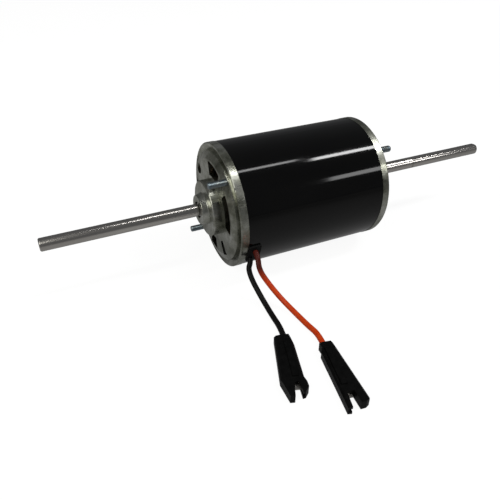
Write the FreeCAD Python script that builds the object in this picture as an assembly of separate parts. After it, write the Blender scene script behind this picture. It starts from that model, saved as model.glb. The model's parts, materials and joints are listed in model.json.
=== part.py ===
import FreeCAD, Part
import math
import os

# Two-ended permanent-magnet DC motor with a black can, die-cast end caps,
# two through bolts and two leads. Millimetres. +X runs along the shaft, +Z is
# up, and the origin is on the surface the motor lies on, under the shaft's middle.
# Round pieces are built about the X axis and then lifted to the shaft's height.

V = FreeCAD.Vector
AXIS_X = V(1, 0, 0)

# ---- driving dimensions ----
can_radius = 39.8
can_wall = 1.8
can_half_length = 46.5
rim_step = 0.2
rim_width = 4.8
rim_round = 0.6

shaft_radius = 4.0
shaft_reach = 95.3
shaft_chamfer = 0.6
slinger_groove_width = 0.8
slinger_groove_depth = 0.6
flat_depth = 0.8
flat_length = 60.0
stop_groove_width = 0.8
stop_groove_depth = 0.4

bolt_radius = 2.083
bolt_inset = 5.0
bolt_angles = (127.0, -53.0)
bolt_reach_left = 12.3
bolt_reach_right = 10.5

core_length = 44.0
core_middle = 6.0
slot_count = 12
air_gap = 0.8
magnet_thickness = 6.95
magnet_overhang = 4.0
magnet_half_angle = 62.0
magnet_angles = (37.0, 217.0)

bearing_outer_radius = 11.0
bearing_width = 7.0
bearing_depth = 3.0
ball_radius = 1.984
ball_count = 7

brush_width = 8.0
brush_thickness = 6.0
brush_length = 10.0
brush_card_space = 1.2
spring_length = 5.5
commutator_radius = 11.5
commutator_length = 16.0

lead_radius = 1.65
inner_lead_radius = 1.25
grommet_angle = -157.0
notch_half_width = 6.2
notch_length = 7.1
grommet_lip = 1.4
grommet_lip_reach = 0.8
black_exit_inset = 1.9
black_exit_angle = -152.5
red_exit_inset = 4.1
red_exit_angle = -161.5
connector_height = 5.4

# ---- clearances ----
seat_gap = 0.02
slide_gap = 0.1
running_gap = 0.05
bolt_hole_gap = 0.22
tapped_gap = 0.02
ball_gap = 0.03

# ---- end cap section, measured outward from the motor's middle ----
can_bore = can_radius - can_wall
rim_radius = can_radius + rim_step
rim_face = can_half_length + rim_width
ledge_face = rim_face - 1.4
plateau_face = rim_face + 0.9
crown_face = plateau_face + 1.8
boss_face = crown_face + 6.2
nose_face = boss_face + 4.0
plateau_radius = rim_radius - 4.8
plateau_step = 0.4
crown_radius = plateau_radius - 4.7
boss_radius = 17.8
boss_round = 1.0
nose_base_radius = 10.3
nose_tip_radius = 9.3
nose_hole_radius = shaft_radius + 1.3
shaft_half_length = nose_face + shaft_reach
bearing_inner_face = can_half_length + bearing_depth
bearing_outer_face = bearing_inner_face + bearing_width
bolt_circle_radius = can_bore - bolt_inset
cap_wall = 3.0
cap_floor = plateau_face - 4.2
cap_floor_radius = plateau_radius - 3.7
spigot_length = 3.0
spigot_wall = 2.6
spotface_radius = 4.5
spotface_face = ledge_face + 0.5
bolt_boss_radius = 5.5
inner_hub_wall = 3.4
washer_space = 0.8

# Cooling vents: start and end angle, inner and outer radius.
vent_inner_radius = boss_radius + 3.0
vent_outer_radius = crown_radius - 0.8
vents = (
    (78.0, 114.0, vent_inner_radius, vent_outer_radius),
    (138.0, 191.0, vent_inner_radius, vent_outer_radius - 0.9),
    (-42.0, 12.0, vent_inner_radius, vent_outer_radius),
    (-131.0, -121.0, vent_inner_radius + 1.8, vent_outer_radius + 2.0),
    (-99.0, -79.0, vent_inner_radius + 1.5, vent_outer_radius),
)
sight_hole_angle = 34.0
sight_hole_radius = 3.5
sight_hole_circle = crown_radius - 2.0

magnet_outer_radius = can_bore - running_gap
magnet_inner_radius = magnet_outer_radius - magnet_thickness
core_radius = magnet_inner_radius - air_gap


# ---- helpers ----
def around(radius, angle, x=0.0):
    """A point at a radius and angle about the shaft; 0 is +Y and 90 is +Z."""
    turn = math.radians(angle)
    return V(x, radius * math.cos(turn), radius * math.sin(turn))


def turned(profile):
    """A solid of revolution about X from (x, radius) corners."""
    corners = [V(x, 0, radius) for x, radius in profile]
    face = Part.Face(Part.makePolygon(corners + corners[:1]))
    return face.revolve(V(0, 0, 0), AXIS_X, 360)


def ring(start, end, outer, inner):
    return turned([(start, inner), (end, inner), (end, outer), (start, outer)])


def bar(start, end, radius, middle=V(0, 0, 0)):
    return Part.makeCylinder(radius, end - start, V(start, middle.y, middle.z), AXIS_X)


def sector(start, end, outer, inner, angle_from, angle_to):
    """A stretch of a ring between two angles."""
    middle = (angle_from + angle_to) / 2
    far = Part.Arc(around(outer, angle_from, start), around(outer, middle, start),
                   around(outer, angle_to, start)).toShape()
    near = Part.Arc(around(inner, angle_to, start), around(inner, middle, start),
                    around(inner, angle_from, start)).toShape()
    side_a = Part.makeLine(around(outer, angle_to, start), around(inner, angle_to, start))
    side_b = Part.makeLine(around(inner, angle_from, start), around(outer, angle_from, start))
    return Part.Face(Part.Wire([far, side_a, near, side_b])).extrude(V(end - start, 0, 0))


def block(x_from, x_to, y_from, y_to, z_from, z_to):
    return Part.makeBox(x_to - x_from, y_to - y_from, z_to - z_from, V(x_from, y_from, z_from))


def turned_about_shaft(shape, angle):
    copy = shape.copy()
    copy.rotate(V(0, 0, 0), AXIS_X, angle)
    return copy


def mirrored(shape):
    """The same piece at the other end of the motor."""
    return shape.mirror(V(0, 0, 0), AXIS_X)


def round_rings(shape, size, places):
    """Rounds the circular edges at the given (x, radius) places."""
    picked = []
    for edge in shape.Edges:
        if not isinstance(edge.Curve, Part.Circle):
            continue
        for x, radius in places:
            near_x = abs(edge.Curve.Center.x - x) < 0.01
            if near_x and abs(edge.Curve.Radius - radius) < 0.01:
                picked.append(edge)
    return shape.makeFillet(size, picked)


def fuse(shapes):
    return shapes[0].multiFuse(shapes[1:]).removeSplitter()


def route_wire(points):
    """Straight runs joined by tangent arcs, each as large as its two runs allow."""
    edges = []
    radii = []
    last = points[0]
    for before, corner, after in zip(points, points[1:], points[2:]):
        way_in = corner - before
        way_out = after - corner
        turn = way_in.getAngle(way_out)
        trim = 0.45 * min(way_in.Length, way_out.Length)
        way_in.normalize()
        way_out.normalize()
        radii.append(trim / math.tan(turn / 2))
        first = corner - way_in * trim
        final = corner + way_out * trim
        inward = way_out - way_in
        inward.normalize()
        top = corner + inward * (radii[-1] / math.cos(turn / 2) - radii[-1])
        edges.append(Part.makeLine(last, first))
        edges.append(Part.Arc(first, top, final).toShape())
        last = final
    edges.append(Part.makeLine(last, points[-1]))
    return Part.Wire(edges), radii


def tube_along(points, radius, name):
    wire, radii = route_wire(points)
    direction = points[1] - points[0]
    section = Part.Wire(Part.makeCircle(radius, points[0], direction))
    solid = wire.makePipeShell([section], True, False)
    expected = math.pi * radius ** 2 * wire.Length
    print(name, "length %.1f" % wire.Length, "radii", ["%.1f" % r for r in radii],
          "volume ratio %.4f" % (solid.Volume / expected))
    return solid


# ---- housing ----
def lead_opening(start, end, outer, inner, play=0.0):
    """The room for the leads at the grommet, cut from what surrounds it."""
    half_turn = math.degrees((notch_half_width + play) / can_radius)
    return sector(start, end, outer, inner, grommet_angle - half_turn, grommet_angle + half_turn)


def make_can():
    can = ring(-can_half_length, can_half_length, can_radius, can_bore)
    return can.cut(lead_opening(-can_half_length - 1.0, -can_half_length + notch_length,
                                can_radius + 2, can_bore - 2))


def cap_body():
    pocket_floor = bearing_outer_face + washer_space
    pocket_radius = bearing_outer_radius + seat_gap
    hub_radius = bearing_outer_radius + inner_hub_wall
    inside = crown_face - cap_wall
    pocket_mouth = bearing_inner_face - 1.5
    spigot_radius = can_bore - seat_gap
    profile = [
        (nose_face, nose_hole_radius),
        (nose_face, nose_tip_radius),
        (boss_face, nose_base_radius),
        (boss_face, boss_radius),
        (crown_face, boss_radius),
        (crown_face, crown_radius),
        (plateau_face, plateau_radius),
        (ledge_face, plateau_radius + plateau_step),
        (rim_face, rim_radius - 1.2),
        (rim_face, rim_radius),
        (can_half_length, rim_radius),
        (can_half_length, spigot_radius),
        (can_half_length - spigot_length, spigot_radius),
        (can_half_length - spigot_length, spigot_radius - spigot_wall),
        (cap_floor, spigot_radius - spigot_wall),
        (cap_floor, cap_floor_radius),
        (inside, cap_floor_radius - 1.5),
        (inside, hub_radius),
        (pocket_mouth, hub_radius),
        (pocket_mouth, pocket_radius),
        (pocket_floor, pocket_radius),
        (pocket_floor, nose_hole_radius),
    ]
    body = turned(profile)
    body = round_rings(body, rim_round, [(rim_face, rim_radius)])
    body = round_rings(body, boss_round, [(boss_face, boss_radius)])
    return round_rings(body, 0.5, [(nose_face, nose_tip_radius), (boss_face, nose_base_radius)])


def card_posts():
    posts = []
    for angle in card_screw_angles:
        middle = around(card_screw_circle, angle)
        posts.append(bar(can_half_length - spigot_length, crown_face - cap_wall + 0.5,
                         card_post_radius, middle))
    return posts


card_screw_angles = (25.0, 205.0)
card_screw_circle = 26.0
card_post_radius = 3.0
card_screw_radius = 1.25
spigot_lead_room = 1.4
card_notch_half_width = 7.47
card_notch_play = 1.15


def make_cap(hole_radius, with_posts):
    """A right-hand cap with a flat for each nut, or the left-hand one.

    The left-hand one is tapped for the bolts and has the brush card's posts and lead room.
    """
    cap = cap_body()
    low = can_half_length - spigot_length
    for start, end, inner, outer in vents:
        cap = cap.cut(sector(low, boss_face, outer, inner, start, end))
    cap = cap.cut(bar(low, boss_face, sight_hole_radius,
                      around(sight_hole_circle, sight_hole_angle)))
    for angle in bolt_angles:
        middle = around(bolt_circle_radius, angle)
        cap = fuse([cap, bar(can_half_length, spotface_face, bolt_boss_radius, middle)])
        cap = cap.cut(bar(low - 1, boss_face, hole_radius, middle))
        if not with_posts:
            cap = cap.cut(bar(spotface_face, boss_face, spotface_radius, middle))
    if with_posts:
        cap = fuse([cap] + card_posts())
        for angle in card_screw_angles:
            cap = cap.cut(bar(low - 1, low + 5, card_screw_radius + seat_gap,
                              around(card_screw_circle, angle)))
        cap = mirrored(cap)
        cap = cap.cut(lead_opening(-can_half_length, -low + 1, can_bore,
                                   can_bore - spigot_wall - 1, spigot_lead_room))
    return cap


def make_magnet(angle):
    start = core_middle - core_length / 2 - magnet_overhang
    end = core_middle + core_length / 2 + magnet_overhang
    return sector(start, end, magnet_outer_radius, magnet_inner_radius,
                  angle - magnet_half_angle, angle + magnet_half_angle)


def make_magnet_clips():
    """Spring strips that wedge the magnets apart against the can."""
    strip = 0.8
    leg_turn = 1.4
    play = 0.3
    start = core_middle - core_length / 2
    end = core_middle + core_length / 2
    clips = []
    for angle in bolt_angles:
        half = 90.0 - magnet_half_angle - play
        inner = magnet_outer_radius - strip
        base = sector(start, end, magnet_outer_radius, inner, angle - half, angle + half)
        leg_end = magnet_inner_radius + 1.5
        leg_a = sector(start, end, magnet_outer_radius, leg_end, angle - half, angle - half + leg_turn)
        leg_b = sector(start, end, magnet_outer_radius, leg_end, angle + half - leg_turn, angle + half)
        clips.append(fuse([base, leg_a, leg_b]))
    return Part.makeCompound(clips)


def make_bolt(angle):
    middle = around(bolt_circle_radius, angle)
    bolt = bar(-rim_face - bolt_reach_left, rim_face + bolt_reach_right, bolt_radius, middle)
    ends = [edge for edge in bolt.Edges if isinstance(edge.Curve, Part.Circle)]
    return bolt.makeChamfer(0.4, ends)


lock_washer_thickness = 0.6
lock_washer_radius = 3.7
nut_thickness = 2.2
nut_across_flats = 7.0


def make_lock_washers():
    start = spotface_face
    washers = []
    for angle in bolt_angles:
        middle = around(bolt_circle_radius, angle)
        outer = bar(start, start + lock_washer_thickness, lock_washer_radius, middle)
        washers.append(outer.cut(bar(start, start + lock_washer_thickness,
                                     bolt_radius + slide_gap, middle)))
    return Part.makeCompound(washers)


def make_nuts():
    start = spotface_face + lock_washer_thickness
    corner_radius = nut_across_flats / math.sqrt(3)
    nuts = []
    for bolt_angle in bolt_angles:
        middle = around(bolt_circle_radius, bolt_angle, start)
        corners = [middle + around(corner_radius, 60 * i) for i in range(7)]
        hexagon = Part.Face(Part.makePolygon(corners)).extrude(V(nut_thickness, 0, 0))
        nuts.append(hexagon.cut(bar(start, start + nut_thickness,
                                    bolt_radius + tapped_gap, middle)))
    return Part.makeCompound(nuts)


# ---- rotor ----
ring_groove_radius = shaft_radius - 0.6
slinger_groove_mouth = 0.2
retaining_ring_thickness = 0.8
retaining_ring_radius = shaft_radius + 2.2
spacer_radius = shaft_radius + 1.6
core_start = core_middle - core_length / 2
core_end = core_middle + core_length / 2
liner_thickness = 0.5
winding_height = 8.0
slot_floor_radius = 13.0
slot_mouth_half_width = 1.3
tooth_half_width = 2.0
tooth_tip_depth = 2.6
fill_play = 0.15
card_thickness = 1.8
card_face = -can_half_length + spigot_length
card_back = card_face + card_thickness
brush_middle = card_back + brush_card_space + brush_width / 2
commutator_start = brush_middle - brush_width / 2 - 0.6
commutator_end = commutator_start + commutator_length
hub_overhang = 1.0
commutator_hub_radius = shaft_radius + 2.4


def make_shaft():
    """A plain bar with ring grooves, a slinger groove at each nose and a flat at one end.

    A clip in the groove where the flat starts stops a hub there.
    """
    shaft = bar(-shaft_half_length, shaft_half_length, shaft_radius)
    ends = [edge for edge in shaft.Edges if isinstance(edge.Curve, Part.Circle)]
    shaft = shaft.makeChamfer(shaft_chamfer, ends)
    flat_start = shaft_half_length - flat_length
    top = shaft_radius + 1
    shaft = shaft.cut(block(flat_start, shaft_half_length + 1, -top, top,
                            shaft_radius - flat_depth, top))
    ring_groove = ring(bearing_inner_face - retaining_ring_thickness - seat_gap,
                       bearing_inner_face, top, ring_groove_radius)
    slinger_groove_end = nose_face + slinger_groove_mouth
    slinger_groove = ring(slinger_groove_end - slinger_groove_width, slinger_groove_end,
                          top, shaft_radius - slinger_groove_depth)
    for groove in (ring_groove, slinger_groove):
        shaft = shaft.cut(groove).cut(mirrored(groove))
    stop_groove = ring(flat_start - stop_groove_width, flat_start, top,
                       shaft_radius - stop_groove_depth)
    return shaft.cut(stop_groove)


def make_retaining_rings():
    clip = sector(bearing_inner_face - retaining_ring_thickness, bearing_inner_face,
                  retaining_ring_radius, ring_groove_radius + seat_gap, -60, 240)
    return Part.makeCompound([clip, mirrored(clip)])


def make_spacer(start, end):
    return ring(start, end, spacer_radius, shaft_radius + seat_gap)


def slot_shape(start, end, play):
    """One winding slot: a tapered pocket with a narrow mouth, play smaller all round."""
    inner = slot_floor_radius + play
    outer = core_radius - tooth_tip_depth - play
    half_step = math.pi / slot_count
    tooth_share = tooth_half_width / math.cos(half_step) + play
    half_inner = inner * math.tan(half_step) - tooth_share
    half_outer = outer * math.tan(half_step) - tooth_share
    corners = [V(start, -half_inner, inner), V(start, half_inner, inner),
               V(start, half_outer, outer), V(start, -half_outer, outer)]
    return Part.Face(Part.makePolygon(corners + corners[:1])).extrude(V(end - start, 0, 0))


def slotted_disc(start, end, radius, bore):
    disc = ring(start, end, radius, bore)
    mouth_start = core_radius - tooth_tip_depth - 0.5
    cuts = []
    for i in range(slot_count):
        pocket = slot_shape(start - 1, end + 1, 0.0)
        mouth = block(start - 1, end + 1, -slot_mouth_half_width, slot_mouth_half_width,
                      mouth_start, core_radius + 2)
        turn = 360.0 * i / slot_count
        cuts.append(turned_about_shaft(pocket, turn))
        cuts.append(turned_about_shaft(mouth, turn))
    return disc.cut(Part.makeCompound(cuts))


def make_core():
    return slotted_disc(core_start, core_end, core_radius, shaft_radius + seat_gap)


def make_slot_liners():
    left = slotted_disc(core_start - liner_thickness, core_start, core_radius - 0.4,
                        shaft_radius + seat_gap)
    right = slotted_disc(core_end, core_end + liner_thickness, core_radius - 0.4,
                         shaft_radius + seat_gap)
    return Part.makeCompound([left, right])


def make_winding():
    """Twelve slot fills joined by the rounded end turns at both ends of the core."""
    left_end = core_start - liner_thickness
    right_end = core_end + liner_thickness
    low = 9.0
    high = core_radius - tooth_tip_depth - 0.6
    bevel = 3.0
    tall = winding_height
    left_turns = turned([(left_end, low), (left_end, high), (left_end - tall + bevel, high - 1),
                         (left_end - tall, high - 2 - bevel), (left_end - tall, low + bevel),
                         (left_end - tall + bevel, low)])
    right_turns = turned([(right_end, low), (right_end, high), (right_end + tall - bevel, high - 1),
                          (right_end + tall, high - 2 - bevel), (right_end + tall, low + bevel),
                          (right_end + tall - bevel, low)])
    fills = []
    for i in range(slot_count):
        fill = slot_shape(left_end, right_end, fill_play)
        fills.append(turned_about_shaft(fill, 360.0 * i / slot_count))
    return fuse([left_turns, right_turns] + fills)


def make_commutator_bars():
    gap_turn = 2.6
    step = 360.0 / slot_count
    bars = []
    for i in range(slot_count):
        start = step * i + gap_turn / 2
        end = step * (i + 1) - gap_turn / 2
        segment = sector(commutator_start, commutator_end, commutator_radius,
                         commutator_hub_radius + seat_gap, start, end)
        riser = sector(commutator_end - 2, commutator_end, commutator_radius + 1.6,
                       commutator_radius - 1, start + 6, end - 6)
        bars.append(fuse([segment, riser]))
    return Part.makeCompound(bars)


def make_commutator_hub():
    return ring(commutator_start - hub_overhang, commutator_end + hub_overhang,
                commutator_hub_radius, shaft_radius + seat_gap)


# ---- ball bearings, at the +X end ----
bearing_middle = bearing_inner_face + bearing_width / 2
ball_pitch_radius = (shaft_radius + bearing_outer_radius) / 2
race_shoulder = 1.4
shield_thickness = 0.3
cage_half_width = 2.3
cage_half_wall = 0.7


def race_groove():
    return Part.makeTorus(ball_pitch_radius, ball_radius + ball_gap,
                          V(bearing_middle, 0, 0), AXIS_X)


def make_inner_ring():
    race = ring(bearing_inner_face, bearing_outer_face, ball_pitch_radius - race_shoulder,
                shaft_radius + seat_gap)
    return race.cut(race_groove())


def make_outer_ring():
    race = ring(bearing_inner_face, bearing_outer_face, bearing_outer_radius,
                ball_pitch_radius + race_shoulder)
    return race.cut(race_groove())


def ball_angles():
    return [360.0 * i / ball_count for i in range(ball_count)]


def make_balls():
    places = [around(ball_pitch_radius, angle, bearing_middle) for angle in ball_angles()]
    return Part.makeCompound([Part.makeSphere(ball_radius, place) for place in places])


def make_cage():
    """A ring with a round pocket for each ball."""
    cage = ring(bearing_middle - cage_half_width, bearing_middle + cage_half_width,
                ball_pitch_radius + cage_half_wall, ball_pitch_radius - cage_half_wall)
    pocket_start = ball_pitch_radius - 2 * cage_half_wall
    for angle in ball_angles():
        cage = cage.cut(Part.makeCylinder(ball_radius + ball_gap, 4 * cage_half_wall,
                                          around(pocket_start, angle, bearing_middle),
                                          around(1, angle)))
    return cage


def make_shields():
    outer = ball_pitch_radius + race_shoulder - seat_gap
    inner = ball_pitch_radius - race_shoulder + 0.2
    near = ring(bearing_inner_face + 0.2, bearing_inner_face + 0.2 + shield_thickness, outer, inner)
    far = ring(bearing_outer_face - 0.2 - shield_thickness, bearing_outer_face - 0.2, outer, inner)
    return Part.makeCompound([near, far])


def make_pocket_washer():
    """Takes up the end play between a bearing's outer ring and its pocket's floor."""
    return ring(bearing_outer_face, bearing_outer_face + washer_space,
                bearing_outer_radius - 0.2, bearing_outer_radius - 2.4)


def make_dust_seal():
    seal_start = nose_face - 4.4
    seal_end = nose_face - 1.2
    return ring(seal_start, seal_end, nose_hole_radius, shaft_radius + running_gap)


# ---- brush gear ----
card_hole_radius = commutator_radius + 3.0
card_screw_head_radius = 2.3
holder_wall = 0.8
holder_start = commutator_radius + 1.6
brush_foot = commutator_radius + running_gap
brush_back = brush_foot + brush_length
holder_end = brush_back + spring_length
spring_radius = 2.3
spring_wire_radius = 0.25
spring_turns = 4.0
shunt_radius = 0.7


def make_brush_card():
    card = ring(card_face, card_back, can_bore - 0.1, card_hole_radius)
    for angle in bolt_angles:
        card = card.cut(bar(card_face - 1, card_back + 1, bolt_radius + bolt_hole_gap,
                            around(bolt_circle_radius, angle)))
    for angle in card_screw_angles:
        card = card.cut(bar(card_face - 1, card_back + 1, card_screw_radius + slide_gap,
                            around(card_screw_circle, angle)))
    half_turn = math.degrees(card_notch_half_width / inner_lead_circle)
    return card.cut(sector(card_face - 1, card_back + 1, can_bore + 1,
                           inner_lead_circle - card_notch_play,
                           grommet_angle - half_turn, grommet_angle + half_turn))


def make_card_screws():
    screws = []
    for angle in card_screw_angles:
        middle = around(card_screw_circle, angle)
        shank = bar(card_face - 4.5, card_back, card_screw_radius, middle)
        head = bar(card_back, card_back + 1.4, card_screw_head_radius, middle)
        screws.append(fuse([shank, head]))
    return Part.makeCompound(screws)


def make_brush_holder():
    """The upper holder: a brass box on the card, open towards the commutator."""
    half_width = brush_width / 2 + slide_gap
    half_thickness = brush_thickness / 2 + slide_gap
    outer = block(card_back, brush_middle + half_width + holder_wall,
                  -half_thickness - holder_wall, half_thickness + holder_wall,
                  holder_start, holder_end + holder_wall)
    inner = block(brush_middle - half_width, brush_middle + half_width,
                  -half_thickness, half_thickness, holder_start - 1, holder_end)
    return outer.cut(inner)


def make_brush():
    brush = block(brush_middle - brush_width / 2, brush_middle + brush_width / 2,
                  -brush_thickness / 2, brush_thickness / 2, commutator_radius - 2, brush_back)
    return brush.cut(bar(brush_middle - brush_width, brush_middle + brush_width, brush_foot))


def make_spring():
    """A coil spring between the brush's back and the holder's closed end."""
    rise = spring_length - 2 * spring_wire_radius
    helix = Part.makeHelix(rise / spring_turns, rise, spring_radius)
    helix.translate(V(brush_middle, 0, brush_back + spring_wire_radius))
    start = V(brush_middle + spring_radius, 0, brush_back + spring_wire_radius)
    section = Part.Wire(Part.makeCircle(spring_wire_radius, start, V(0, 1, 0)))
    return Part.Wire(helix.Edges).makePipeShell([section], True, True)


def make_shunt():
    return Part.makeCylinder(shunt_radius, spring_length, V(brush_middle, 0, brush_back))


# ---- leads inside the can ----
grommet_face_radius = can_radius + grommet_lip
black_exit_x = -can_half_length + black_exit_inset
red_exit_x = -can_half_length + red_exit_inset
inner_lead_x = brush_middle - 1.8
inner_lead_circle = holder_end + holder_wall + inner_lead_radius + running_gap


def make_grommet():
    left = -can_half_length + seat_gap
    right = left + notch_length - 2 * seat_gap
    reach = right + grommet_lip_reach
    neck = lead_opening(left, right, can_radius + 0.5, can_bore - 0.5, -seat_gap)
    outer = lead_opening(left, reach, grommet_face_radius, can_radius + seat_gap, grommet_lip_reach)
    inner = lead_opening(left, reach, can_bore - seat_gap, can_bore - 1.2, grommet_lip_reach)
    grommet = fuse([neck, outer, inner])
    for x, angle in ((black_exit_x, black_exit_angle), (red_exit_x, red_exit_angle)):
        grommet = grommet.cut(Part.makeCylinder(inner_lead_radius + seat_gap, 12,
                                                around(can_bore - 6, angle, x), around(1, angle)))
    return grommet


def inner_lead(exit_x, exit_angle, way, name):
    """A lead from the grommet's outer face round to its brush holder, inside the can."""
    points = [around(grommet_face_radius, exit_angle, exit_x),
              around(can_bore - 3.4, exit_angle, exit_x)]
    points += [around(inner_lead_circle + rise, angle, inner_lead_x - shift)
               for rise, angle, shift in way]
    return tube_along(points, inner_lead_radius, name)


black_inner_way = ((0.8, -140.0, 1.2), (0.4, -119.0, 0.0), (0.0, -98.0, 0.0))
red_inner_way = ((0.8, -176.0, 1.2), (0.4, -200.0, 0.0), (0.4, -225.0, 0.1), (0.0, -262.0, 0.0))


# ---- connectors ----
# Outlines lie on the surface: the first number runs from the wire end to the
# mating end, the second across. Each is a list of corners.
black_connector_outline = [
    (0.7, -6.0), (30.7, -8.1), (42.0, -5.1), (42.1, -2.6), (34.4, -1.6), (33.2, 0.2),
    (34.6, 1.4), (40.5, 1.6), (40.1, 3.2), (37.2, 5.2), (33.9, 5.0), (31.8, 4.3),
    (7.8, 4.0), (0.0, 2.3), (0.0, -2.2),
]
red_connector_outline = [
    (0.4, -3.0), (3.9, -2.6), (6.2, -3.8), (43.6, -3.3), (43.9, -1.1), (35.8, -0.6),
    (34.7, 1.0), (34.7, 3.2), (42.3, 4.0), (42.1, 6.8), (40.8, 8.8), (39.6, 9.1),
    (1.6, 4.8), (0.0, 4.2), (0.0, -2.2),
]
black_connector_place = V(-47.6, -89.2, 0)
black_connector_heading = -106.0
red_connector_place = V(-30.5, -103.1, 0)
red_connector_heading = -101.0
connector_bevel = 1.0
terminal_start = 6.0
terminal_width = 4.6
terminal_height = 0.8
barrel_radius = 1.7
cavity_play = 0.15


def on_surface(shape, place, heading):
    shape = shape.copy()
    shape.rotate(V(0, 0, 0), V(0, 0, 1), heading)
    shape.translate(place)
    return shape


def terminal_at(play):
    """A crimp barrel with a flat tongue; with play it is the cavity that holds it."""
    middle = connector_height / 2
    barrel_end = terminal_start + 12
    tongue_end = 36.5
    barrel = Part.makeCylinder(barrel_radius + play, barrel_end - terminal_start,
                               V(terminal_start, 0, middle), AXIS_X)
    tongue = block(barrel_end - 0.5, tongue_end, -terminal_width / 2 - play,
                   terminal_width / 2 + play, middle - terminal_height / 2 - play,
                   middle + terminal_height / 2 + play)
    return fuse([barrel, tongue])


def make_connector(outline):
    corners = [V(along, across, 0) for along, across in outline]
    body = Part.Face(Part.makePolygon(corners + corners[:1])).extrude(V(0, 0, connector_height))
    long_edges = []
    for edge in body.Edges:
        box = edge.BoundBox
        if box.ZMin > connector_height - 0.01 and edge.Length > 12:
            long_edges.append(edge)
    body = body.makeChamfer(connector_bevel, long_edges)
    cavity = terminal_at(cavity_play)
    mouth = block(33.0, 50.0, -2.6, 2.6, connector_height / 2 - 1.0, connector_height / 2 + 1.0)
    rib = block(4.0, 30.0, -1.5, 1.5, connector_height - 0.5, connector_height + 0.5)
    return fuse([body, rib]).cut(cavity).cut(mouth)


# ---- leads outside the can: points of each route, from the grommet to the connector ----
black_lead_route = [
    (-44.6, -36.54, 20.98), (-44.6, -40.09, 19.13), (-48.0, -44.3, 13.9), (-45.9, -51.9, 7.6),
    (-44.8, -60.8, 3.0), (-45.2, -70.9, 1.75), (-45.2, -81.0, 2.4), (-47.6, -89.2, 2.7),
]
red_lead_route = [
    (-42.4, -39.07, 26.93), (-42.4, -43.05, 25.59), (-43.8, -47.8, 19.4), (-39.6, -54.2, 11.2),
    (-35.1, -61.8, 4.4), (-32.0, -72.6, 1.8), (-30.2, -86.0, 1.75), (-28.8, -94.2, 2.4),
    (-30.5, -103.1, 2.7),
]


def make_lead(route, name):
    return tube_along([V(*point) for point in route], lead_radius, name)


# ---- the whole motor ----
def about_shaft_pieces():
    """Every piece that is built about the X axis, by name."""
    tapped = bolt_radius + tapped_gap
    clear = bolt_radius + bolt_hole_gap
    holder = make_brush_holder()
    brush = make_brush()
    spring = make_spring()
    shunt = make_shunt()
    inner_race = make_inner_ring()
    outer_race = make_outer_ring()
    balls = make_balls()
    cage = make_cage()
    shields = make_shields()
    washer = make_pocket_washer()
    seal = make_dust_seal()
    spacer_face = bearing_inner_face - retaining_ring_thickness
    return {
        "housing_can": make_can(),
        "left_end_cap": make_cap(tapped, True),
        "right_end_cap": make_cap(clear, False),
        "front_magnet": make_magnet(magnet_angles[1]),
        "rear_magnet": make_magnet(magnet_angles[0]),
        "magnet_clips": make_magnet_clips(),
        "upper_through_bolt": make_bolt(bolt_angles[0]),
        "lower_through_bolt": make_bolt(bolt_angles[1]),
        "lock_washers": make_lock_washers(),
        "bolt_nuts": make_nuts(),
        "brush_card": make_brush_card(),
        "card_screws": make_card_screws(),
        "upper_brush_holder": holder,
        "lower_brush_holder": turned_about_shaft(holder, 180),
        "upper_brush": brush,
        "lower_brush": turned_about_shaft(brush, 180),
        "upper_brush_spring": spring,
        "lower_brush_spring": turned_about_shaft(spring, 180),
        "upper_brush_shunt": shunt,
        "lower_brush_shunt": turned_about_shaft(shunt, 180),
        "lead_grommet": make_grommet(),
        "black_inner_lead": inner_lead(black_exit_x, black_exit_angle, black_inner_way,
                                       "black_inner_lead"),
        "red_inner_lead": inner_lead(red_exit_x, red_exit_angle, red_inner_way, "red_inner_lead"),
        "shaft": make_shaft(),
        "armature_core": make_core(),
        "slot_liners": make_slot_liners(),
        "armature_winding": make_winding(),
        "commutator_bars": make_commutator_bars(),
        "commutator_hub": make_commutator_hub(),
        "left_shaft_spacer": make_spacer(-spacer_face, commutator_start - hub_overhang),
        "right_shaft_spacer": make_spacer(core_end + liner_thickness, spacer_face),
        "retaining_rings": make_retaining_rings(),
        "right_bearing_inner_ring": inner_race,
        "left_bearing_inner_ring": mirrored(inner_race),
        "right_bearing_outer_ring": outer_race,
        "left_bearing_outer_ring": mirrored(outer_race),
        "right_bearing_balls": balls,
        "left_bearing_balls": mirrored(balls),
        "right_bearing_cage": cage,
        "left_bearing_cage": mirrored(cage),
        "right_bearing_shields": shields,
        "left_bearing_shields": mirrored(shields),
        "right_preload_washer": washer,
        "left_shim_washer": mirrored(washer),
        "right_dust_seal": seal,
        "left_dust_seal": mirrored(seal),
    }


def lying_pieces():
    """The leads and what is on them, placed on the surface by name."""
    return {
        "black_lead": make_lead(black_lead_route, "black_lead"),
        "red_lead": make_lead(red_lead_route, "red_lead"),
        "black_connector": on_surface(make_connector(black_connector_outline),
                                      black_connector_place, black_connector_heading),
        "red_connector": on_surface(make_connector(red_connector_outline),
                                    red_connector_place, red_connector_heading),
        "black_terminal": on_surface(terminal_at(0.0), black_connector_place,
                                     black_connector_heading),
        "red_terminal": on_surface(terminal_at(0.0), red_connector_place, red_connector_heading),
    }


def main():
    os.makedirs("parts", exist_ok=True)
    pieces = about_shaft_pieces()
    for shape in pieces.values():
        shape.translate(V(0, 0, rim_radius))
    pieces.update(lying_pieces())
    for name, shape in pieces.items():
        faults = [solid for solid in shape.Solids if not solid.isValid() or solid.Volume <= 0]
        print("%-26s solids %2d volume %9.1f%s" % (name, len(shape.Solids), shape.Volume,
                                                   "  FAULTY" if faults else ""))
        shape.exportStep("parts/%s.step" % name)


main()
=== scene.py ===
import bmesh
import bpy
import json
import math
from mathutils import Matrix, Vector


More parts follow.
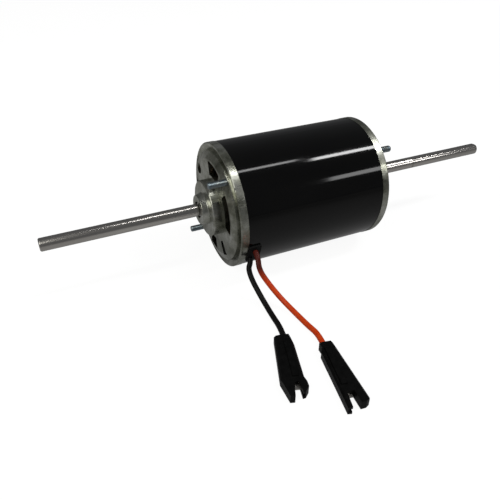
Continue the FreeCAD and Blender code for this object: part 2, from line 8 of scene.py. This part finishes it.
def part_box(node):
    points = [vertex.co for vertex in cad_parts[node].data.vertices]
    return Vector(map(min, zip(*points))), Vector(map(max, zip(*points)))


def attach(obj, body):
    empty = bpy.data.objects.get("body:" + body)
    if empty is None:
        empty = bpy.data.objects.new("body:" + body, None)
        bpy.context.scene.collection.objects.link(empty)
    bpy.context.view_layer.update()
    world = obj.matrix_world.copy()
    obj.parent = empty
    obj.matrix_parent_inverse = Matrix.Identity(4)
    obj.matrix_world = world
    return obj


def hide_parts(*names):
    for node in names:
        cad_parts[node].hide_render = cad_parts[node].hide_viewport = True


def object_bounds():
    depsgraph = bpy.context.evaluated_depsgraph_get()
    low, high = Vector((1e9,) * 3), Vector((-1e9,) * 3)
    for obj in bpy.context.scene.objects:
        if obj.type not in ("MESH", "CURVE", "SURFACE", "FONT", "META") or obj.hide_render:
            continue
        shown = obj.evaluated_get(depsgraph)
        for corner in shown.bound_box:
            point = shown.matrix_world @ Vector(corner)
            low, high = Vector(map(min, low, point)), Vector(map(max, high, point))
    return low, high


# The looks of a two-ended DC motor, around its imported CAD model. Metres.
# +X runs along the shaft towards its flatted end, +Z is up, the leads lie towards -Y.

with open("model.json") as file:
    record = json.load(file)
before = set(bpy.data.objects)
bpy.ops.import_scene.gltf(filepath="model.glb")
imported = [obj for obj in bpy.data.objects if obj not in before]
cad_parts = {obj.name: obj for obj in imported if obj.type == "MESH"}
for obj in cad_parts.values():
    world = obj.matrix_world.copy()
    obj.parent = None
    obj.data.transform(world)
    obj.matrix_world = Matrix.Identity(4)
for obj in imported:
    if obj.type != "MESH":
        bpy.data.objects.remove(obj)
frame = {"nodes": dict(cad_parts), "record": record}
cad_low, cad_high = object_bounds()
record = frame["record"]

MM = 0.001
THREAD_SIDES = 28
SHAFT_SIDES = 76
FLAT_SIDES = 16
SHARP_ANGLE = math.radians(35)
lead_radius = 1.65 * MM
thread_pitch = 25.4 / 32 * MM
thread_depth = 0.22 * MM
thread_length = 20.0 * MM
thread_rings_per_turn = 8
bolt_tip_chamfer = 0.4 * MM


# ---- meshes ----
def piece_from(name, mesh, body, material):
    """An object from a bmesh, riding on a body, with a finish and a material."""
    data = bpy.data.meshes.new(name)
    bmesh.ops.recalc_face_normals(mesh, faces=mesh.faces[:])
    mesh.to_mesh(data)
    mesh.free()
    data.materials.append(material)
    piece = bpy.data.objects.new(name, data)
    bpy.context.collection.objects.link(piece)
    data.shade_smooth()
    data.set_sharp_from_angle(angle=SHARP_ANGLE)
    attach(piece, body)
    return piece


def tube_mesh(rings):
    """A closed bmesh through rings of points, each ring a list of the same length."""
    mesh = bmesh.new()
    loops = [[mesh.verts.new(point) for point in ring] for ring in rings]
    count = len(loops[0])
    for near, far in zip(loops, loops[1:]):
        for i in range(count):
            j = (i + 1) % count
            mesh.faces.new((near[i], near[j], far[j], far[i]))
    mesh.faces.new(loops[0])
    mesh.faces.new(loops[-1])
    return mesh


# ---- materials ----
def new_material(name):
    material = bpy.data.materials.new(name)
    material.use_nodes = True
    nodes = material.node_tree.nodes
    return material, material.node_tree, nodes["Principled BSDF"]


def link(tree, source, target):
    tree.links.new(source, target)


def stretched_coords(tree, scale):
    """Object coordinates, which are the row frame's, scaled along each axis."""
    coords = tree.nodes.new("ShaderNodeTexCoord")
    mapping = tree.nodes.new("ShaderNodeMapping")
    mapping.inputs["Scale"].default_value = scale
    link(tree, coords.outputs["Object"], mapping.inputs["Vector"])
    return mapping.outputs["Vector"]


def noise(tree, scale, detail=4.0, roughness=0.55, stretch=(1, 1, 1)):
    texture = tree.nodes.new("ShaderNodeTexNoise")
    texture.inputs["Scale"].default_value = scale
    texture.inputs["Detail"].default_value = detail
    texture.inputs["Roughness"].default_value = roughness
    link(tree, stretched_coords(tree, stretch), texture.inputs["Vector"])
    return texture.outputs["Fac"]


def ramp(tree, value, stops):
    """A colour ramp over (position, colour) stops."""
    node = tree.nodes.new("ShaderNodeValToRGB")
    elements = node.color_ramp.elements
    while len(elements) < len(stops):
        elements.new(0.5)
    for element, (position, colour) in zip(elements, stops):
        element.position = position
        element.color = (*colour, 1.0)
    link(tree, value, node.inputs["Fac"])
    return node.outputs["Color"]


def map_range(tree, value, span, low, high):
    """Maps a span of the value onto low to high, and holds it there outside the span."""
    node = tree.nodes.new("ShaderNodeMapRange")
    node.inputs["From Min"].default_value = span[0]
    node.inputs["From Max"].default_value = span[1]
    node.inputs["To Min"].default_value = low
    node.inputs["To Max"].default_value = high
    link(tree, value, node.inputs["Value"])
    return node.outputs["Result"]


def spread(tree, value, low, high):
    """Maps the middle of a noise onto a range."""
    return map_range(tree, value, (0.3, 0.7), low, high)


def by_height(tree, span, low, high):
    """A value that goes from low to high over a span of heights."""
    coords = tree.nodes.new("ShaderNodeTexCoord")
    split = tree.nodes.new("ShaderNodeSeparateXYZ")
    link(tree, coords.outputs["Object"], split.inputs[0])
    return map_range(tree, split.outputs["Z"], span, low, high)


def bumps(tree, shader, layers):
    """Stacks bump layers of (height, strength, distance) on a shader's normal."""
    last = None
    for height, strength, distance in layers:
        node = tree.nodes.new("ShaderNodeBump")
        node.inputs["Strength"].default_value = strength
        node.inputs["Distance"].default_value = distance
        link(tree, height, node.inputs["Height"])
        if last is not None:
            link(tree, last, node.inputs["Normal"])
        last = node.outputs["Normal"]
    link(tree, last, shader.inputs["Normal"])


def mottled(name, dark, light, scale, rough, metallic=0.0, stretch=(1, 1, 1), bump=0.00002,
            level=0.5):
    """A finish whose colour, roughness and relief vary with noise at one scale."""
    material, tree, shader = new_material(name)
    patches = noise(tree, scale, stretch=stretch)
    grain = noise(tree, scale * 6, detail=3.0, stretch=stretch)
    link(tree, ramp(tree, patches, [(0.3, dark), (0.7, light)]), shader.inputs["Base Color"])
    link(tree, spread(tree, grain, *rough), shader.inputs["Roughness"])
    shader.inputs["Metallic"].default_value = metallic
    shader.inputs["Specular IOR Level"].default_value = level
    bumps(tree, shader, [(grain, 0.5, bump)])
    return material


def black_gloss_paint():
    """Baked black enamel: hardly any orange peel, with faint haze and rub marks."""
    material, tree, shader = new_material("can_enamel")
    peel = noise(tree, 420.0, detail=2.0)
    haze = noise(tree, 38.0, detail=5.0, roughness=0.6, stretch=(0.35, 1, 1))
    rubs = noise(tree, 260.0, detail=6.0, roughness=0.7, stretch=(0.08, 1, 1))
    link(tree, ramp(tree, haze, [(0.35, (0.0015, 0.0015, 0.0016)), (0.7, (0.003, 0.003, 0.003))]),
         shader.inputs["Base Color"])
    shader.inputs["Specular IOR Level"].default_value = 0.25
    link(tree, spread(tree, rubs, 0.05, 0.09), shader.inputs["Roughness"])
    bumps(tree, shader, [(peel, 0.06, 0.00002)])
    return material


def cast_metal():
    """Die-cast alloy: mottled skin with a fine grain; its colour carries painted shade towards the
    ground and painted highlight higher up.
    """
    material, tree, shader = new_material("die_cast_alloy")
    clouds = noise(tree, 75.0, detail=6.0, roughness=0.66)
    flow = noise(tree, 210.0, detail=4.0, stretch=(0.25, 1, 1))
    grain = noise(tree, 2200.0, detail=2.0)
    colour = ramp(tree, clouds, [(0.30, (0.09, 0.094, 0.070)), (0.46, (0.21, 0.214, 0.175)),
                                 (0.60, (0.36, 0.365, 0.325)), (0.74, (0.56, 0.56, 0.53))])
    # Painted shade and painted highlight: the colour is scaled from 0.6 times at the ground to 1.5
    # times at 75 mm of height.
    painted_light_by_height = tree.nodes.new("ShaderNodeVectorMath")
    painted_light_by_height.operation = "SCALE"
    link(tree, colour, painted_light_by_height.inputs[0])
    link(tree, by_height(tree, (0.0, 75.0 * MM), 0.6, 1.5), painted_light_by_height.inputs["Scale"])
    link(tree, painted_light_by_height.outputs["Vector"], shader.inputs["Base Color"])
    shader.inputs["Metallic"].default_value = 1.0
    link(tree, spread(tree, flow, 0.20, 0.38), shader.inputs["Roughness"])
    bumps(tree, shader, [(clouds, 0.4, 0.00018), (flow, 0.4, 0.00005), (grain, 0.3, 0.00002)])
    return material


def ground_steel(name, dark, light, rough):
    """Ground bar: bright, with faint lengthwise wipe marks."""
    material, tree, shader = new_material(name)
    wipes = noise(tree, 240.0, detail=3.0, stretch=(0.05, 1, 1))
    link(tree, ramp(tree, wipes, [(0.3, dark), (0.7, light)]), shader.inputs["Base Color"])
    shader.inputs["Metallic"].default_value = 1.0
    link(tree, spread(tree, wipes, *rough), shader.inputs["Roughness"])
    return material


def zinc_plate():
    """Bright zinc over steel, with a cold blue cast that shifts from place to place."""
    material, tree, shader = new_material("bright_zinc_plate")
    tint = noise(tree, 180.0, detail=3.0)
    fine = noise(tree, 1500.0, detail=2.0)
    colour = ramp(tree, tint, [(0.3, (0.16, 0.21, 0.25)), (0.5, (0.24, 0.29, 0.32)),
                               (0.72, (0.33, 0.34, 0.32))])
    link(tree, colour, shader.inputs["Base Color"])
    shader.inputs["Metallic"].default_value = 1.0
    link(tree, spread(tree, fine, 0.28, 0.38), shader.inputs["Roughness"])
    bumps(tree, shader, [(fine, 0.2, 0.00001)])
    return material


def lead_insulation(name, dark, light, rough, level):
    """Extruded PVC: a slight sheen and finger marks, with painted shade darkening it near the
    exit.
    """
    material, tree, shader = new_material(name)
    marks = noise(tree, 130.0, detail=4.0)
    fine = noise(tree, 1400.0, detail=3.0)
    unshaded_colour = ramp(tree, marks, [(0.32, dark), (0.68, light)])
    # Painted shade: between 14 and 21 mm of height, near the exit, the colour turns to 0.12 times
    # its dark tone.
    painted_exit_shade = tuple(0.12 * value for value in dark)
    mix = tree.nodes.new("ShaderNodeMix")
    mix.data_type = "RGBA"
    link(tree, by_height(tree, (14.0 * MM, 21.0 * MM), 0.0, 1.0), mix.inputs["Factor"])
    link(tree, unshaded_colour, mix.inputs["A"])
    mix.inputs["B"].default_value = (*painted_exit_shade, 1.0)
    link(tree, mix.outputs["Result"], shader.inputs["Base Color"])
    link(tree, spread(tree, marks, *rough), shader.inputs["Roughness"])
    shader.inputs["Specular IOR Level"].default_value = level
    bumps(tree, shader, [(marks, 0.2, 0.0001), (fine, 0.15, 0.00002)])
    return material


def make_materials():
    """One material for each of the record's material slots."""
    return {
        "black_paint": black_gloss_paint(),
        "cast_metal": cast_metal(),
        "bright_steel": ground_steel("ground_steel_bar", (0.46, 0.44, 0.415), (0.60, 0.575, 0.545),
                                     (0.23, 0.24)),
        "bearing_steel": ground_steel("bearing_steel", (0.50, 0.50, 0.50), (0.62, 0.62, 0.62),
                                      (0.08, 0.14)),
        "plated_steel": zinc_plate(),
        "spring_steel": mottled("spring_steel", (0.26, 0.26, 0.27), (0.42, 0.41, 0.40), 200.0,
                                (0.25, 0.4), metallic=1.0),
        "core_steel": mottled("lamination_steel", (0.16, 0.16, 0.17), (0.30, 0.30, 0.31), 70.0,
                              (0.35, 0.5), metallic=1.0, stretch=(30, 1, 1)),
        "ferrite": mottled("sintered_ferrite", (0.035, 0.035, 0.038), (0.07, 0.07, 0.072), 160.0,
                           (0.55, 0.75)),
        "phenolic": mottled("phenolic_board", (0.14, 0.06, 0.025), (0.24, 0.115, 0.045), 220.0,
                            (0.45, 0.6)),
        "brass": mottled("brass_strip", (0.50, 0.36, 0.13), (0.66, 0.50, 0.22), 150.0,
                         (0.25, 0.4), metallic=1.0),
        "tinned_brass": mottled("tinned_brass", (0.48, 0.46, 0.42), (0.62, 0.60, 0.56), 260.0,
                                (0.25, 0.4), metallic=1.0),
        "copper": mottled("enamelled_copper", (0.42, 0.14, 0.06), (0.62, 0.26, 0.12), 260.0,
                          (0.25, 0.4), metallic=1.0, stretch=(1, 6, 6)),
        "carbon": mottled("carbon_brush", (0.02, 0.02, 0.022), (0.05, 0.05, 0.05), 300.0,
                          (0.5, 0.7)),
        "black_rubber": mottled("moulded_rubber", (0.003, 0.003, 0.003), (0.008, 0.008, 0.008),
                                240.0, (0.6, 0.8), bump=0.00005, level=0.12),
        "black_insulation": lead_insulation("black_pvc", (0.003, 0.003, 0.003),
                                            (0.006, 0.006, 0.006), (0.45, 0.6), 0.15),
        "red_insulation": lead_insulation("orange_red_pvc", (0.58, 0.038, 0.004),
                                          (0.70, 0.070, 0.006), (0.4, 0.55), 0.2),
        "connector_plastic": mottled("moulded_nylon", (0.0015, 0.0015, 0.0015),
                                     (0.004, 0.004, 0.004), 320.0, (0.3, 0.5), bump=0.00004,
                                     level=0.10),
        "nylon": mottled("natural_nylon", (0.60, 0.57, 0.48), (0.72, 0.69, 0.60), 200.0,
                         (0.4, 0.55)),
    }


materials = make_materials()
slot_of = {part["node"]: part["material_slot"] for part in record["subparts"]}
for node, obj in frame["nodes"].items():
    obj.data.materials.clear()
    obj.data.materials.append(materials[slot_of[node]])


# ---- shaft: turned bar with a flat along one end ----
# The grooves repeat the model's; none of them shows in the photo.
shaft_low, shaft_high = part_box("shaft")
shaft_radius = (shaft_high.z - shaft_low.z) / 2
shaft_height = (shaft_high.z + shaft_low.z) / 2
flat_height = 3.2 * MM
flat_length = 60.0 * MM
shaft_chamfer = 0.6 * MM
edge_wear = 0.12 * MM
nose_groove_width = 0.8 * MM
nose_groove_depth = 0.6 * MM
nose_groove_past = 0.2 * MM
stop_groove_width = 0.8 * MM
stop_groove_depth = 0.4 * MM


def shaft_ring(x, radius, flat):
    """One ring of the shaft; its top stretch is pressed down onto the flat where there is one."""
    half_turn = math.acos(flat_height / shaft_radius)
    angles = [-half_turn + 2 * half_turn * i / FLAT_SIDES for i in range(FLAT_SIDES)]
    rest = 2 * (math.pi - half_turn)
    angles += [half_turn + rest * i / SHAFT_SIDES for i in range(SHAFT_SIDES)]
    ring = []
    for angle in angles:
        up = radius * math.cos(angle)
        if flat:
            up = min(up, flat_height)
        ring.append((x, radius * math.sin(angle), shaft_height + up))
    return ring


def make_shaft():
    """The bar with chamfered tips, a groove at each nose, and a stop groove before the flat."""
    groove_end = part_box("right_end_cap")[1].x + nose_groove_past
    groove_start = groove_end - nose_groove_width
    groove_floor = shaft_radius - nose_groove_depth
    stop_floor = shaft_radius - stop_groove_depth
    tip = shaft_radius - shaft_chamfer
    worn = shaft_radius - edge_wear / 3
    flat_start = shaft_high.x - flat_length
    stop_start = flat_start - stop_groove_width
    rings = [(shaft_low.x, tip, False), (shaft_low.x + shaft_chamfer, worn, False),
             (shaft_low.x + shaft_chamfer + edge_wear, shaft_radius, False)]
    for near, far in ((-groove_end, -groove_start), (groove_start, groove_end)):
        rings += [(near, shaft_radius, False), (near, groove_floor, False),
                  (far, groove_floor, False), (far, shaft_radius, False)]
    rings += [(stop_start, shaft_radius, False), (stop_start, stop_floor, False),
              (flat_start, stop_floor, False), (flat_start, shaft_radius, True),
              (shaft_high.x - shaft_chamfer - edge_wear, shaft_radius, True),
              (shaft_high.x - shaft_chamfer, worn, True), (shaft_high.x, tip, True)]
    mesh = tube_mesh([shaft_ring(*ring) for ring in rings])
    shaft = piece_from("shaft_bar", mesh, "rotor", materials["bright_steel"])
    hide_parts("shaft")


make_shaft()


# ---- through bolts: a plain shank between two threaded ends ----
def bolt_ring(x, centre, radius, depth):
    """One ring of the bolt; a thread of this depth is cut into its outline."""
    ring = []
    for i in range(THREAD_SIDES):
        share = i / THREAD_SIDES
        phase = (x / thread_pitch - share) % 1.0
        cut = abs(2.0 * phase - 1.0)
        angle = 2 * math.pi * share
        reach = radius - depth * cut
        ring.append((x, centre.y + reach * math.cos(angle), centre.z + reach * math.sin(angle)))
    return ring


def make_bolt(name, node):
    low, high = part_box(node)
    centre = (low + high) / 2
    radius = (high.y - low.y) / 2
    tip = bolt_tip_chamfer
    shank = radius - thread_depth / 2
    step = thread_pitch / thread_rings_per_turn
    count = round((thread_length - tip) / step)
    left = [low.x + tip + i * step for i in range(count + 1)]
    right = [high.x - tip - i * step for i in range(count, -1, -1)]
    rings = [bolt_ring(low.x, centre, radius - tip, 0.0)]
    rings += [bolt_ring(x, centre, radius, thread_depth) for x in left]
    rings.append(bolt_ring(left[-1] + step, centre, shank, 0.0))
    rings.append(bolt_ring(right[0] - step, centre, shank, 0.0))
    rings += [bolt_ring(x, centre, radius, thread_depth) for x in right]
    rings.append(bolt_ring(high.x, centre, radius - tip, 0.0))
    bolt = piece_from(name, tube_mesh(rings), "housing", materials["plated_steel"])
    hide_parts(node)


make_bolt("upper_threaded_bolt", "upper_through_bolt")
make_bolt("lower_threaded_bolt", "lower_through_bolt")


# ---- leads: route points in metres ----
# The red route repeats the model's. The black one drops up to 3 mm closer to the can.
black_route = [
    (-0.0446, -0.03654, 0.02098), (-0.0453, -0.0386, 0.0192), (-0.0472, -0.0396, 0.0160),
    (-0.0470, -0.0440, 0.0110), (-0.0460, -0.0524, 0.0062), (-0.0452, -0.0610, 0.0028),
    (-0.0453, -0.0709, 0.00175), (-0.0458, -0.0810, 0.0024), (-0.0476, -0.0892, 0.0027),
]
red_route = [
    (-0.0424, -0.03907, 0.02693), (-0.0424, -0.04305, 0.02559), (-0.0438, -0.0478, 0.0194),
    (-0.0396, -0.0542, 0.0112), (-0.0351, -0.0618, 0.0044), (-0.0320, -0.0726, 0.0018),
    (-0.0302, -0.0860, 0.00175), (-0.0288, -0.0942, 0.0024), (-0.0305, -0.1031, 0.0027),
]


def make_lead(name, route, node, slot):
    curve = bpy.data.curves.new(name, "CURVE")
    curve.dimensions = "3D"
    curve.bevel_depth = lead_radius
    curve.bevel_resolution = 8
    curve.use_fill_caps = True
    spline = curve.splines.new("NURBS")
    spline.points.add(len(route) - 1)
    for point, place in zip(spline.points, route):
        point.co = (*place, 1.0)
    spline.order_u = 3
    spline.use_endpoint_u = True
    spline.resolution_u = 12
    curve.materials.append(materials[slot])
    lead = bpy.data.objects.new(name, curve)
    bpy.context.collection.objects.link(lead)
    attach(lead, "housing")
    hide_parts(node)
    return lead


black_lead = make_lead("black_lead_wire", black_route, "black_lead", "black_insulation")
red_lead = make_lead("red_lead_wire", red_route, "red_lead", "red_insulation")


# ---- studio ----
floor_reach = 6.0
floor_gap = 0.2 * MM
seen_glow = 0.93
near_glow = 0.27
far_glow = 0.06
glow_span = (0.06, 0.42)
surround_level = 0.13


def larger(tree, first, second):
    node = tree.nodes.new("ShaderNodeMath")
    node.operation = "MAXIMUM"
    link(tree, first, node.inputs[0])
    link(tree, second, node.inputs[1])
    return node.outputs[0]


def floor_material():
    """Plain grey where it lights the motor. Seen straight or in a reflection, it also glows:
    evenly for the camera, and less with distance in reflections."""
    material = bpy.data.materials.new("pale_floor")
    material.use_nodes = True
    tree = material.node_tree
    tree.nodes.clear()
    path = tree.nodes.new("ShaderNodeLightPath")
    coords = tree.nodes.new("ShaderNodeTexCoord")
    distance = tree.nodes.new("ShaderNodeVectorMath")
    distance.operation = "LENGTH"
    link(tree, coords.outputs["Object"], distance.inputs[0])
    strength = tree.nodes.new("ShaderNodeMix")
    link(tree, path.outputs["Is Camera Ray"], strength.inputs["Factor"])
    link(tree, map_range(tree, distance.outputs["Value"], glow_span, near_glow, far_glow),
         strength.inputs["A"])
    strength.inputs["B"].default_value = seen_glow
    plain = tree.nodes.new("ShaderNodeBsdfDiffuse")
    plain.inputs["Color"].default_value = (0.5, 0.5, 0.5, 1)
    shaded = tree.nodes.new("ShaderNodeBsdfDiffuse")
    shaded.inputs["Color"].default_value = (0.14, 0.14, 0.14, 1)
    glow = tree.nodes.new("ShaderNodeEmission")
    glow.inputs["Color"].default_value = (1, 1, 1, 1)
    link(tree, strength.outputs["Result"], glow.inputs["Strength"])
    seen = tree.nodes.new("ShaderNodeAddShader")
    link(tree, shaded.outputs[0], seen.inputs[0])
    link(tree, glow.outputs[0], seen.inputs[1])
    seen_or_glossy = larger(tree, path.outputs["Is Camera Ray"], path.outputs["Is Glossy Ray"])
    mix = tree.nodes.new("ShaderNodeMixShader")
    link(tree, larger(tree, seen_or_glossy, path.outputs["Is Transmission Ray"]), mix.inputs[0])
    link(tree, plain.outputs[0], mix.inputs[1])
    link(tree, seen.outputs[0], mix.inputs[2])
    output = tree.nodes.new("ShaderNodeOutputMaterial")
    link(tree, mix.outputs[0], output.inputs["Surface"])
    return material


def make_floor():
    mesh = bmesh.new()
    corners = [(-floor_reach, -floor_reach), (floor_reach, -floor_reach),
               (floor_reach, floor_reach), (-floor_reach, floor_reach)]
    mesh.faces.new([mesh.verts.new((x, y, cad_low.z - floor_gap)) for x, y in corners])
    data = bpy.data.meshes.new("floor")
    mesh.to_mesh(data)
    mesh.free()
    floor = bpy.data.objects.new("floor", data)
    bpy.context.collection.objects.link(floor)
    data.materials.append(floor_material())


def add_lamp(name, direction, distance, width, length, radiance, along, colour=(1, 1, 1)):
    """A rectangular lamp that faces the motor, with its long side turned towards `along`."""
    lamp = bpy.data.lights.new(name, "AREA")
    lamp.shape = "RECTANGLE"
    lamp.size = length
    lamp.size_y = width
    lamp.color = colour
    lamp.energy = radiance * math.pi * width * length
    obj = bpy.data.objects.new(name, lamp)
    bpy.context.collection.objects.link(obj)
    back = Vector(direction).normalized()
    side = (Vector(along) - back * Vector(along).dot(back)).normalized()
    up = back.cross(side)
    turn = Matrix((side, up, back)).transposed()
    centre = Vector((0, 0, shaft_height))
    obj.matrix_world = Matrix.Translation(centre + back * distance) @ turn.to_4x4()


def across_shaft(lean, turn):
    """A direction that leans along +X and is turned about the shaft; 0 is +Y and 90 is +Z."""
    spread_out = math.sqrt(1 - lean * lean)
    angle = math.radians(turn)
    return (lean, spread_out * math.cos(angle), spread_out * math.sin(angle))


def make_lamps():
    shaft_line = (1, 0, 0)
    add_lamp("overhead_strip", across_shaft(0.62, 103), distance=2.0,
             width=0.16, length=0.75, radiance=30.0, along=shaft_line)
    add_lamp("overhead_strip_tail", across_shaft(0.18, 98), distance=2.0,
             width=0.12, length=1.1, radiance=12.0, along=shaft_line)
    add_lamp("front_strip", across_shaft(0.64, 146), distance=2.0,
             width=0.20, length=0.75, radiance=8.0, along=shaft_line)
    add_lamp("left_softbox", (-0.72, -0.30, 0.62), distance=1.6,
             width=0.9, length=0.9, radiance=4.2, along=(0, 1, 0), colour=(1.0, 0.99, 0.93))


def make_world():
    """A dim surround that lights the motor; the camera sees it as white."""
    world = bpy.data.worlds.new("studio")
    bpy.context.scene.world = world
    world.use_nodes = True
    tree = world.node_tree
    surround = tree.nodes["Background"]
    surround.inputs["Color"].default_value = (0.95, 0.97, 1.0, 1)
    surround.inputs["Strength"].default_value = surround_level
    backdrop = tree.nodes.new("ShaderNodeBackground")
    backdrop.inputs["Color"].default_value = (1, 1, 1, 1)
    path = tree.nodes.new("ShaderNodeLightPath")
    mix = tree.nodes.new("ShaderNodeMixShader")
    link(tree, path.outputs["Is Camera Ray"], mix.inputs[0])
    link(tree, surround.outputs[0], mix.inputs[1])
    link(tree, backdrop.outputs[0], mix.inputs[2])
    link(tree, mix.outputs[0], tree.nodes["World Output"].inputs["Surface"])


def make_camera():
    camera = bpy.data.cameras.new("camera")
    camera.sensor_width = 36.0
    camera.lens = 38.05
    camera.clip_start = 0.01
    obj = bpy.data.objects.new("camera", camera)
    bpy.context.collection.objects.link(obj)
    right = Vector((0.91296, -0.40805, 0.0)).normalized()
    back = Vector((-0.3328, -0.7447, 0.5786)).normalized()
    up = back.cross(right)
    turn = Matrix((right, up, back)).transposed()
    place = Vector((-0.15057, -0.27338, 0.21111))
    obj.matrix_world = Matrix.Translation(place) @ turn.to_4x4()
    bpy.context.scene.camera = obj


make_floor()
make_lamps()
make_world()
make_camera()
bpy.context.scene.view_settings.view_transform = "Standard"
